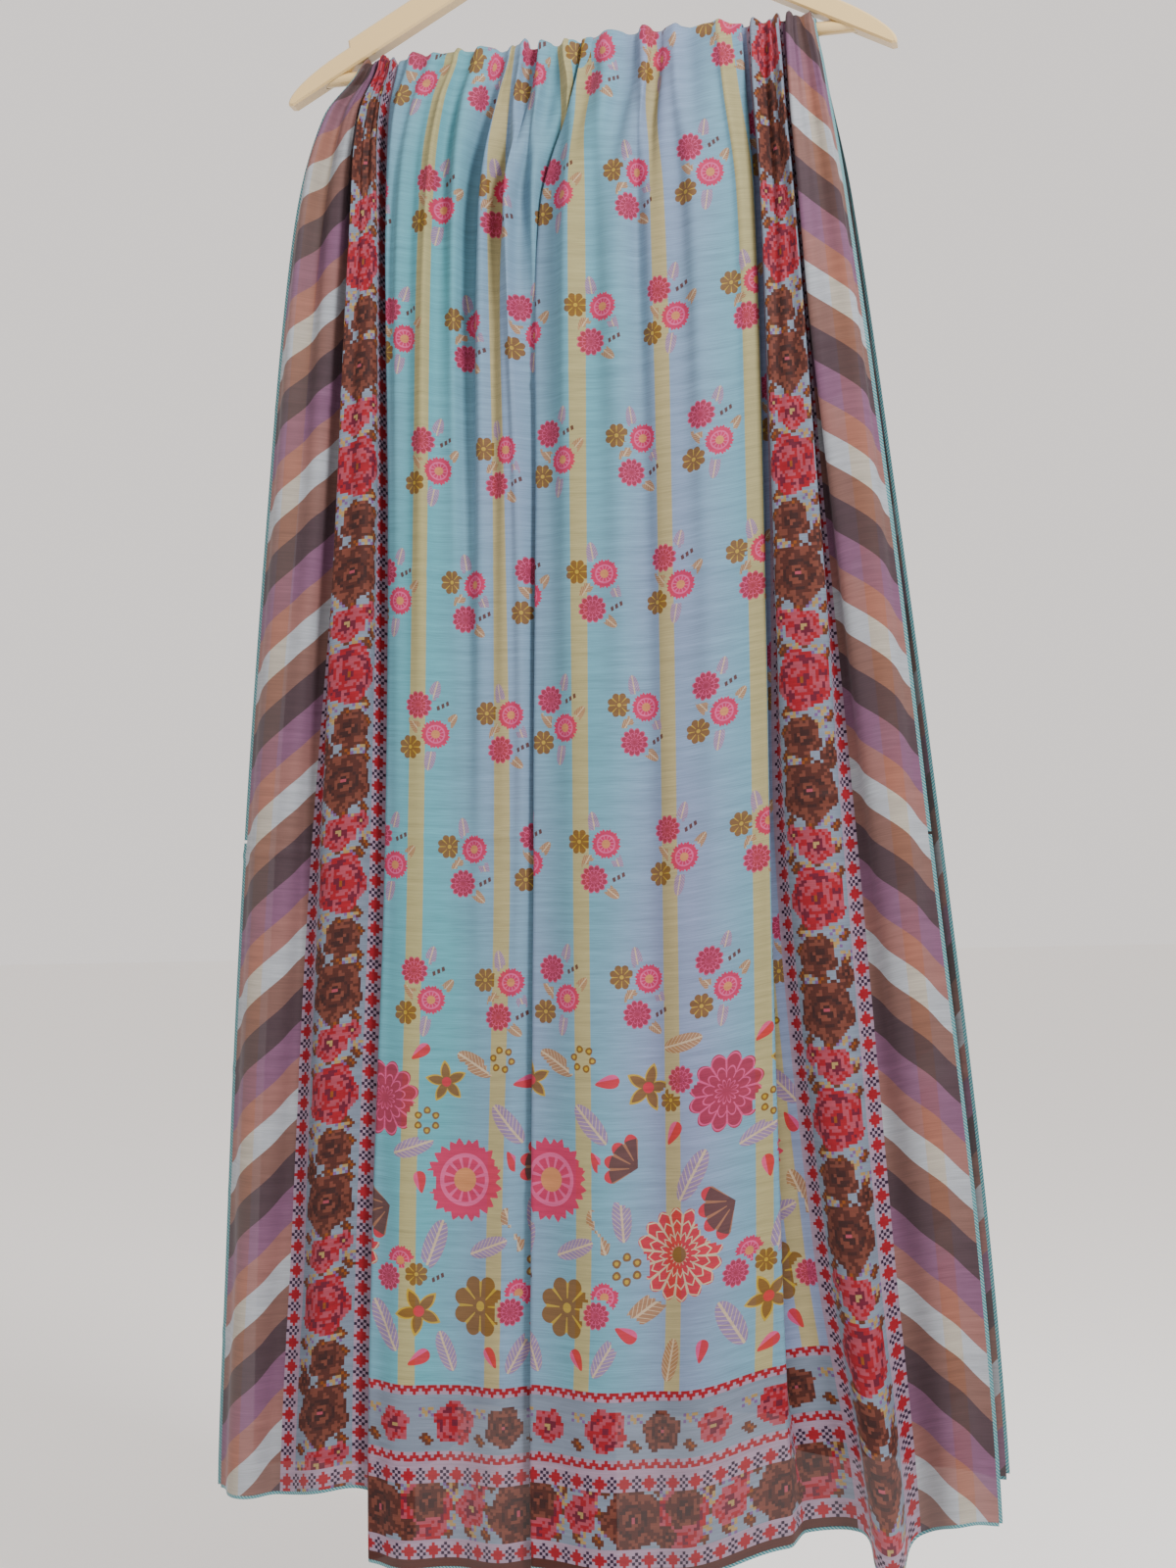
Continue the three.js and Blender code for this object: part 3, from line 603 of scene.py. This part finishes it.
# The end field: kind, across and up as shares of one repeat, radius, turn in degrees.
END_REPEAT, END_REPEATS, END_INSET, END_MARGIN = 198, 4, 6, 12
END_FLOWERS = [
    (TAN_LEAF, 0.13, 0.19, 21, 35), (LILAC_LEAF, 0.43, 0.12, 21, 120), (LILAC_LEAF, 0.63, 0.37, 20, 70),
    (TAN_LEAF, 0.93, 0.42, 18, 110), (LILAC_LEAF, 0.30, 0.58, 21, 60), (LILAC_LEAF, 0.90, 0.74, 19, 130),
    (LILAC_LEAF, 0.02, 0.46, 18, 95), (LILAC_LEAF, 0.55, 0.66, 17, 20), (TAN_LEAF, 0.76, 0.92, 17, 150),
    (TAN_LEAF, 0.21, 0.04, 16, 80), (LILAC_LEAF, 0.97, 0.05, 17, 60), (LILAC_LEAF, 0.85, 0.36, 17, 20),
    (TAN_LEAF, 0.27, 0.97, 16, 10), (LILAC_LEAF, 0.67, 0.05, 16, 110),
    (WHEEL, 0.24, 0.34, 33, 0), (STAR_FLOWER, 0.57, 0.16, 18, 20), (OLIVE, 0.81, 0.18, 22, 0),
    (FAN, 0.45, 0.47, 27, 200), (DAISY, 0.74, 0.56, 31, 0), (FAN, 0.08, 0.60, 25, 150),
    (MUM, 0.42, 0.80, 28, 0), (STAR_FLOWER, 0.12, 0.84, 18, 50), (STAR_FLOWER, 0.66, 0.86, 16, 0),
    (BERRIES, 0.04, 0.30, 14, 0), (BERRIES, 0.59, 0.74, 12, 60), (BERRIES, 0.88, 0.93, 12, 20),
    (DROP, 0.57, 0.02, 10, 30), (DROP, 0.04, 0.11, 10, -30), (DROP, 0.33, 0.05, 9, 80),
    (DROP, 0.97, 0.86, 10, 10), (DROP, 0.86, 0.03, 9, 120), (DROP, 0.22, 0.70, 10, 60),
    (DROP, 0.57, 0.55, 9, 100), (DROP, 0.93, 0.62, 9, -60), (DROP, 0.56, 0.95, 9, 40),
    (DAISY, 0.50, 0.31, 11, 0), (MUM, 0.45, 0.255, 10, 0), (OLIVE, 0.56, 0.27, 8.5, 0),
    (DAISY, 0.96, 0.22, 11, 0), (MUM, 0.93, 0.165, 10, 0), (OLIVE, 0.21, 0.80, 8.5, 0),
    (MUM, 0.25, 0.86, 10, 0), (DASHES, 0.64, 0.26, 5.5, 0),
]


def end_field():
    """The large flowers near both ends of the ground, the far end turned about."""
    rows = []
    low, high = END_FIELD
    for k in range(END_REPEATS):
        for kind, dx, dy, size, turn in END_FLOWERS:
            across = BAND + BORDER + (k + dx) * END_REPEAT + END_INSET
            if across > GROUND_END - 4:
                continue
            up = low + END_MARGIN + dy * (high - low - 2 * END_MARGIN)
            rows.append((across, up, size, math.radians(turn), kind))
            rows.append((across, CLOTH_LENGTH - up, size, math.radians(turn + 180), kind))
    return rows


def stamped(flowers):
    """For every stitch cell, the flower that covers it: middle, radius, turn and kind (0 for none)."""
    cols = len(ALL_COLUMNS) - 1
    cells = np.zeros((STITCH_ROWS, cols, 5))
    cells[..., 2] = 1
    across = (ALL_COLUMNS[:-1] + ALL_COLUMNS[1:]) / 2
    up = (np.arange(STITCH_ROWS) + 0.5) * STITCH
    for flower in flowers:
        x, y, size = flower[:3]
        reach = size * 1.06 + STITCH * 0.75
        c = np.where(np.abs(across - x) < reach)[0]
        r = np.where(np.abs(up - y) < reach)[0]
        if not len(c) or not len(r):
            continue
        inside = (across[c][None, :] - x) ** 2 + (up[r][:, None] - y) ** 2 < reach ** 2
        block = cells[r[0]:r[-1] + 1, c[0]:c[-1] + 1]
        block[inside] = flower
    return cells


MOTIFS = stamped(end_field() + posies())

# ---------------------------------------------------------------- shader arithmetic
class Field:
    """A number or colour in a material, written as ordinary arithmetic."""

    def __init__(self, tree, socket):
        self.tree, self.socket = tree, socket

    def math(self, kind, other=None, third=None):
        node = self.tree.nodes.new("ShaderNodeMath")
        node.operation = kind
        for i, value in enumerate((self, other, third)):
            if isinstance(value, Field):
                self.tree.links.new(value.socket, node.inputs[i])
            elif value is not None:
                node.inputs[i].default_value = value
        return Field(self.tree, node.outputs[0])

    def __add__(self, other):
        return self.math("ADD", other)

    def __sub__(self, other):
        return self.math("SUBTRACT", other)

    def __mul__(self, other):
        return self.math("MULTIPLY", other)

    def __truediv__(self, other):
        return self.math("DIVIDE", other)

    def __lt__(self, other):
        return self.math("LESS_THAN", other)

    def __gt__(self, other):
        return self.math("GREATER_THAN", other)

    def clamped(self):
        """Kept between 0 and 1."""
        kept = self.math("MULTIPLY_ADD", 1.0, 0.0)
        kept.socket.node.use_clamp = True
        return kept

    def mix(self, low, high):
        """low where this is 0, high where it is 1; both are fields or colours."""
        node = self.tree.nodes.new("ShaderNodeMix")
        node.data_type = "RGBA"
        self.tree.links.new(self.socket, node.inputs[0])
        for index, value in ((6, low), (7, high)):
            if isinstance(value, Field):
                self.tree.links.new(value.socket, node.inputs[index])
            else:
                node.inputs[index].default_value = (*value, 1)
        return Field(self.tree, node.outputs[2])


def attribute(tree, name):
    node = tree.nodes.new("ShaderNodeAttribute")
    node.attribute_name = name
    return node


def noise(tree, vector, scale, detail=2.0, stretch=(1, 1, 1)):
    place = tree.nodes.new("ShaderNodeMapping")
    place.inputs["Scale"].default_value = stretch
    tree.links.new(vector, place.inputs["Vector"])
    node = tree.nodes.new("ShaderNodeTexNoise")
    node.inputs["Scale"].default_value = scale
    node.inputs["Detail"].default_value = detail
    tree.links.new(place.outputs[0], node.inputs["Vector"])
    return Field(tree, node.outputs["Fac"])


def new_material(name, roughness, **sockets):
    material = bpy.data.materials.new(name)
    material.use_nodes = True
    shader = material.node_tree.nodes["Principled BSDF"]
    shader.inputs["Roughness"].default_value = roughness
    for key, value in sockets.items():
        shader.inputs[key.replace("_", " ")].default_value = value
    return material, material.node_tree, shader


# ---------------------------------------------------------------- the printed cloth
SLANT = math.tan(math.radians(42))
STRIPE_REPEAT = 122
STRIPE_SHIFT = 30
ICE, TAUPE, CHARCOAL = dye(202, 206, 212), dye(138, 108, 102), dye(84, 68, 74)
MAUVE, DUSTY = dye(136, 102, 126), dye(162, 122, 118)
AQUA, LILAC_BLUE, GOLD = dye(138, 192, 204), dye(166, 178, 208), dye(206, 192, 144)
STRIPES = [(0.19, DUSTY), (0.38, MAUVE), (0.60, CHARCOAL), (0.81, TAUPE)]    # after the ice stripe
GOLD_PITCH, GOLD_AT, GOLD_WIDTH, GOLD_COVER = 67, 522, 12.5, 0.85
BAND_GOLD_AT, BAND_GOLD_HALF = 28, 6.5
BAND_GOLD_TINT = (1.08, 0.92, 0.70)
# The ground drifts from aqua at the left to lilac at the right, in soft stripes and blotches.
SHADE_REPEAT, SHADE_AT, SHADE_DEPTH = 134, 560, 0.32
SHADE_FROM, SHADE_REACH, SHADE_START, SHADE_BLOTCH = 250, 900, 0.28, 0.9
INK_COVER = 0.92
INK = {
    "olive": dye(134, 98, 40), "olive_light": dye(206, 178, 104), "daisy": dye(204, 46, 98),
    "daisy_ring": dye(234, 118, 158), "eye": dye(224, 160, 120), "mum": dye(164, 20, 74),
    "mum_light": dye(226, 104, 146), "tan": dye(178, 140, 112), "lilac": dye(162, 140, 178),
    "brown": dye(98, 56, 48), "brown_light": dye(170, 120, 94), "coral": dye(204, 66, 74),
    "cream": dye(230, 210, 184),
}


KIND_SLACK = 0.4


def flower_print(tree):
    """Cover and colour of the printed flowers, from each cell's own middle, radius and turn."""
    node = attribute(tree, "motif")
    split = tree.nodes.new("ShaderNodeSeparateXYZ")
    tree.links.new(node.outputs["Vector"], split.inputs[0])
    x, y, kind = (Field(tree, split.outputs[i]) for i in range(3))
    r = (x * x + y * y).math("SQRT")
    angle = y.math("ARCTAN2", x)

    def fan_of(petals, shift=0.0):
        """0 along the middle of each petal, 1 between two petals."""
        return (((angle / (2 * math.pi) + shift) * petals).math("FRACT") - 0.5).math("ABSOLUTE") * 2

    def leaf_of(width):
        return x * x + (y / width) * (y / width)

    gap8, gap12, gap16, gap5 = fan_of(8), fan_of(12), fan_of(16, 0.02), fan_of(5, 0.03)
    gap26 = fan_of(26, 0.01)
    wobble = gap12 * gap12
    plans = []
    # olive: eight broad petals with pale lines between and a pale eye
    cover = r < (gap8 * gap8 * -0.22 + 1)
    lines = (gap8 > 0.84) * (r > 0.3) + (r < 0.16)
    plans.append((OLIVE, cover, lines.mix(INK["olive"], INK["olive_light"])))
    # daisy: fringe, pale ring, warm eye
    cover = r < (gap26 * -0.13 + wobble * -0.1 + 1)
    inner = (r < 0.62).mix(INK["daisy"], INK["daisy_ring"])
    inner = ((r < 0.52) * (gap12 > 0.3)).mix(inner, INK["daisy"])
    inner = (r < 0.28).mix(inner, INK["eye"])
    plans.append((DAISY, cover, inner))
    # mum: dark petals parted by pale veins
    cover = r < (wobble * -0.2 + 1)
    shells = ((r * 3.1 + wobble * 0.55).math("FRACT") > 0.86)
    veins = ((gap12 > 0.86) * (r > 0.35) + shells).math("MINIMUM", 1.0)
    plans.append((MUM, cover, veins.mix(INK["mum"], INK["mum_light"])))
    # wheel: large round bloom, coral petals with cream edges
    cover = r < (gap16 * gap16 * -0.16 + 1)
    shells = ((r * 4 + gap16 * 0.5).math("FRACT") > 0.84)
    tint = ((gap16 > 0.8) * (r > 0.3) + shells).math("MINIMUM", 1.0).mix(INK["coral"], INK["cream"])
    plans.append((WHEEL, cover, (r < 0.17).mix(tint, INK["olive"])))
    # leaves
    cover = leaf_of(0.42) < (x * -0.25 + 0.85)
    rib = (y.math("ABSOLUTE") < 0.045) + (((x * 5 - y.math("ABSOLUTE") * 5).math("FRACT")) > 0.84)
    rib = rib.math("MINIMUM", 1.0)
    plans.append((TAN_LEAF, cover, rib.mix(INK["tan"], INK["cream"])))
    plans.append((LILAC_LEAF, cover, rib.mix(INK["lilac"], INK["cream"])))
    # dashes: three short strokes that rise
    step = ((x + y * 0.2) * 1.5 + 0.5).math("FRACT") - 0.5
    cover = (step.math("ABSOLUTE") < 0.3) * ((y - x * 0.5).math("ABSOLUTE") < 0.32) * (r < 0.95)
    plans.append((DASHES, cover, INK["brown"]))
    # star flower: five pointed petals with a pale edge
    edge = gap5 * -0.62 + 1
    cover = r < edge
    tint = (r > edge - 0.12).mix(INK["olive"], INK["olive_light"])
    plans.append((STAR_FLOWER, cover, (r < 0.22).mix(tint, INK["coral"])))
    # fan: half a round bloom with ribs
    cover = (r < (gap12 * gap12 * -0.2 + 1)) * (angle.math("ABSOLUTE") < 1.05)
    tint = ((gap12 > 0.8) * (r > 0.25)).mix(INK["brown"], INK["brown_light"])
    plans.append((FAN, cover, (r > 0.84).mix(tint, INK["coral"])))
    # berries: a ring of six dots
    gap6 = fan_of(6)
    dot = (gap6 * r * 0.52) * (gap6 * r * 0.52) + (r - 0.62) * (r - 0.62)
    plans.append((BERRIES, dot < 0.05, (dot < 0.012).mix(INK["olive"], INK["olive_light"])))
    # drop
    cover = (x * x + (y / (x * 0.3 + 0.5)) * (y / (x * 0.3 + 0.5))) < 0.8
    plans.append((DROP, cover, (y > 0.14).mix(INK["coral"], INK["mum_light"])))
    total, tint = None, INK["cream"]
    for wanted, cover, colour in plans:
        chosen = kind.math("COMPARE", wanted, KIND_SLACK)
        covered = chosen * cover
        total = covered if total is None else total + covered
        tint = chosen.mix(tint, colour)
    return total.math("MINIMUM", 1.0), tint


def tinted(tree, colour, tint):
    """The colour with each of its parts scaled."""
    node = tree.nodes.new("ShaderNodeMix")
    node.data_type, node.blend_type = "RGBA", "MULTIPLY"
    node.inputs[0].default_value = 1.0
    if isinstance(colour, Field):
        tree.links.new(colour.socket, node.inputs[6])
    if isinstance(tint, Field):
        tree.links.new(tint.socket, node.inputs[7])
    else:
        node.inputs[7].default_value = (*tint, 1)
    return Field(tree, node.outputs[2])


def slubs(tree, flat_vector):
    """Thick and thin weft threads: fine streaks that run across the cloth, 0.8 to 1.2."""
    fine = noise(tree, flat_vector, 1.0, 2.0, (0.05, 1.3, 1))
    broad = noise(tree, flat_vector, 1.0, 1.0, (0.012, 0.25, 1))
    return (fine - 0.5) * 0.6 + (broad - 0.5) * 0.4 + 1.0


def cloth_material():
    material, tree, shader = new_material(
        "printed_cloth", 0.72, Alpha=0.97, Sheen_Weight=0.05, Specular_IOR_Level=0.22)
    flat = attribute(tree, "flat")
    split = tree.nodes.new("ShaderNodeSeparateXYZ")
    tree.links.new(flat.outputs["Vector"], split.inputs[0])
    u, t = Field(tree, split.outputs[0]), Field(tree, split.outputs[1])

    # slanting stripes, mirrored about the middle of the cloth
    edge = (u - CLOTH_WIDTH / 2).math("ABSOLUTE") * -1 + CLOTH_WIDTH / 2
    phase = ((t - edge * SLANT + STRIPE_SHIFT) / STRIPE_REPEAT).math("FRACT")
    stripes = ICE
    for start, stripe in STRIPES:
        stripes = (phase > start).mix(stripes, stripe)

    # the ground, with woven gold stripes
    broad = noise(tree, flat.outputs["Vector"], 0.004, 2.0)
    shade = ((u - SHADE_AT) * (2 * math.pi / SHADE_REPEAT)).math("SINE") * SHADE_DEPTH
    drift = (u - SHADE_FROM) / SHADE_REACH + shade + (broad - 0.5) * SHADE_BLOTCH + SHADE_START
    ground = drift.clamped().mix(AQUA, LILAC_BLUE)
    from_gold = (((u - GOLD_AT) / GOLD_PITCH + 0.5).math("FRACT") - 0.5).math("ABSOLUTE") * GOLD_PITCH
    in_gold = from_gold < GOLD_WIDTH / 2
    ground = (in_gold * GOLD_COVER).mix(ground, GOLD)
    band_gold = (edge - BAND_GOLD_AT).math("ABSOLUTE") < BAND_GOLD_HALF
    stripes = band_gold.mix(stripes, tinted(tree, stripes, BAND_GOLD_TINT))

    cover, ink = flower_print(tree)
    ground = (cover * INK_COVER).mix(ground, ink)
    colour = (edge > BAND + BORDER).mix(stripes, ground)
    stitch = attribute(tree, "stitch")
    cover = Field(tree, stitch.outputs["Alpha"])
    colour = cover.mix(colour, Field(tree, stitch.outputs["Color"]))
    streak = slubs(tree, flat.outputs["Vector"])
    colour = tinted(tree, colour, streak)
    tree.links.new(colour.socket, shader.inputs["Base Color"])
    return material


THREAD_PITCH = 2.4


def thread_material():
    """Overlocked edge: slanting teal threads with pale ones between."""
    material, tree, shader = new_material("overlocked_edge", 0.75, Sheen_Weight=0.2)
    flat = attribute(tree, "flat")
    split = tree.nodes.new("ShaderNodeSeparateXYZ")
    tree.links.new(flat.outputs["Vector"], split.inputs[0])
    u, t = Field(tree, split.outputs[0]), Field(tree, split.outputs[1])
    turn = ((u + t) / THREAD_PITCH).math("FRACT")
    colour = (turn > 0.55).mix(dye(70, 140, 152), dye(178, 206, 206))
    tree.links.new(colour.socket, shader.inputs["Base Color"])
    return material


cloth = cloth_material()
edging_material = thread_material()

# ---------------------------------------------------------------- the pieces
for fall, (first, last, shown) in FALLS.items():
    alongs = np.arange(first, last + 1) * STITCH
    for stretch, flats in STRETCHES.items():
        low = int(np.searchsorted(ALL_COLUMNS, flats[0] - 1e-6))
        cells = STITCHES[first:last, low:low + len(flats) - 1]
        flowers = MOTIFS[first:last, low:low + len(flats) - 1]
        piece = sheet_mesh(f"cloth_{fall}_{stretch}", flats, alongs, cells, flowers)
        piece.data.materials.append(cloth)
        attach(piece, "root")
        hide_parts(*[f"{part}_{stretch}" for part in shown])
    for side, start in (("left", 0.0), ("right", CLOTH_WIDTH - EDGING)):
        piece = sheet_mesh(f"edging_{fall}_{side}", np.linspace(start, start + EDGING, 3), alongs[::2])
        piece.data.materials.append(edging_material)
        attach(piece, "root")
        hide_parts(*[f"{part}_edging_{side}" for part in shown])
for hem, low in (("front_hem", 0.0), ("back_hem", CLOTH_LENGTH - EDGING)):
    for stretch, flats in STRETCHES.items():
        piece = sheet_mesh(f"edging_{hem}_{stretch}", flats, np.linspace(low, low + EDGING, 3))
        piece.data.materials.append(edging_material)
        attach(piece, "root")
        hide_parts(f"{hem}_{stretch}")

# ---------------------------------------------------------------- the hanger
wood, _, wood_shader = new_material("varnished_wood", 0.3, Coat_Weight=0.8, Coat_Roughness=0.1)
wood_shader.inputs["Base Color"].default_value = (*rgb(204, 174, 118), 1)
wire, _, wire_shader = new_material("plated_wire", 0.22, Metallic=1.0)
wire_shader.inputs["Base Color"].default_value = (*rgb(205, 207, 210), 1)
for node in ("hanger_arm_left", "hanger_arm_right", "hanger_bar", "hanger_hook"):
    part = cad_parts[node]
    part.data.materials.clear()
    part.data.materials.append(wire if node == "hanger_hook" else wood)

# ---------------------------------------------------------------- studio
FLOOR_Z = -1.40
bpy.ops.mesh.primitive_plane_add(size=40, location=(0, 0, FLOOR_Z))
floor = bpy.context.object
floor.name = "floor"
pale, _, pale_shader = new_material("pale_floor", 0.9)
pale_shader.inputs["Base Color"].default_value = (*rgb(250, 248, 246), 1)
floor.data.materials.append(pale)

world = bpy.data.worlds.new("studio")
bpy.context.scene.world = world
world.use_nodes = True
world.node_tree.nodes["Background"].inputs["Color"].default_value = (*rgb(240, 233, 229), 1)
world.node_tree.nodes["Background"].inputs["Strength"].default_value = 1.3


def area_light(name, place, size, power, towards=(0, 0, -0.7)):
    light = bpy.data.lights.new(name, "AREA")
    light.size, light.energy = size, power
    obj = bpy.data.objects.new(name, light)
    obj.location = place
    obj.rotation_euler = (Vector(towards) - Vector(place)).to_track_quat("-Z", "Y").to_euler()
    bpy.context.collection.objects.link(obj)


area_light("key", (1.35, -1.2, 0.75), 0.45, 72, (0, 0, -0.35))
area_light("fill", (-2.2, -1.8, 0.9), 1.2, 12)

# ---------------------------------------------------------------- camera
CAMERA_AT = (0.319, -1.546, -0.806)
SENSOR_HEIGHT, LENS = 36, 49.5
YAW, PITCH, ROLL = math.radians(12.04), math.radians(2.98), math.radians(1.35)
forward = Vector((-math.sin(YAW) * math.cos(PITCH), math.cos(YAW) * math.cos(PITCH), math.sin(PITCH)))
level_right = Vector((math.cos(YAW), math.sin(YAW), 0))
level_up = level_right.cross(forward)
right = level_right * math.cos(ROLL) - level_up * math.sin(ROLL)
up = level_right * math.sin(ROLL) + level_up * math.cos(ROLL)
camera_data = bpy.data.cameras.new("camera")
camera_data.sensor_fit = "VERTICAL"
camera_data.sensor_height = SENSOR_HEIGHT
camera_data.lens = LENS
camera = bpy.data.objects.new("camera", camera_data)
turn = Matrix((right, up, -forward)).transposed().to_4x4()
camera.matrix_world = Matrix.Translation(Vector(CAMERA_AT)) @ turn
bpy.context.collection.objects.link(camera)
bpy.context.scene.camera = camera
